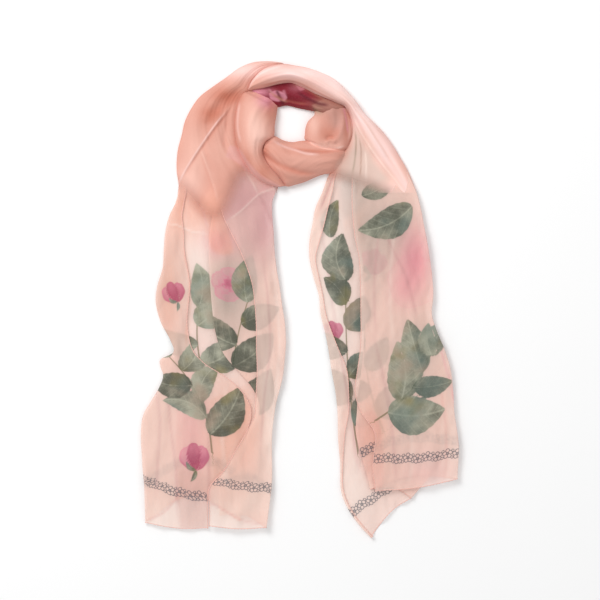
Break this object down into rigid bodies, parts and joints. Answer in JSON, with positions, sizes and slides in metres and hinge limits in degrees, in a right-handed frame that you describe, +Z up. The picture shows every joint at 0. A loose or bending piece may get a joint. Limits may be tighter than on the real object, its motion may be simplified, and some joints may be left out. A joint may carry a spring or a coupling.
{
  "type": "georgette scarf",
  "caption": "Printed georgette scarf laid flat, wound into a gathered ring with an open neck hole, with two folded tails.",
  "frame": {"origin": "middle of the plan's bounding box, on the underside that rests on the surface", "axes": "+Z up from the surface, +Y from the hems of the tails to the top of the neck ring, +X to the right tail"},
  "size_m": [0.4454, 0.666, 0.0318],
  "materials": {
    "tail_cloth": "sheer matt georgette, pale peach with a soft rose leaf print",
    "gathered_cloth": "sheer matt georgette in gathered layers, warm peach",
    "deep_print": "sheer matt georgette, deep magenta print"
  },
  "bodies": {
    "root": {"left_tail": "tail_cloth", "left_arch": "gathered_cloth", "inner_band": "deep_print", "right_roll": "gathered_cloth", "front_roll": "gathered_cloth", "left_roll": "gathered_cloth", "over_band": "gathered_cloth", "right_tail": "tail_cloth"}
  },
  "joints": []
}
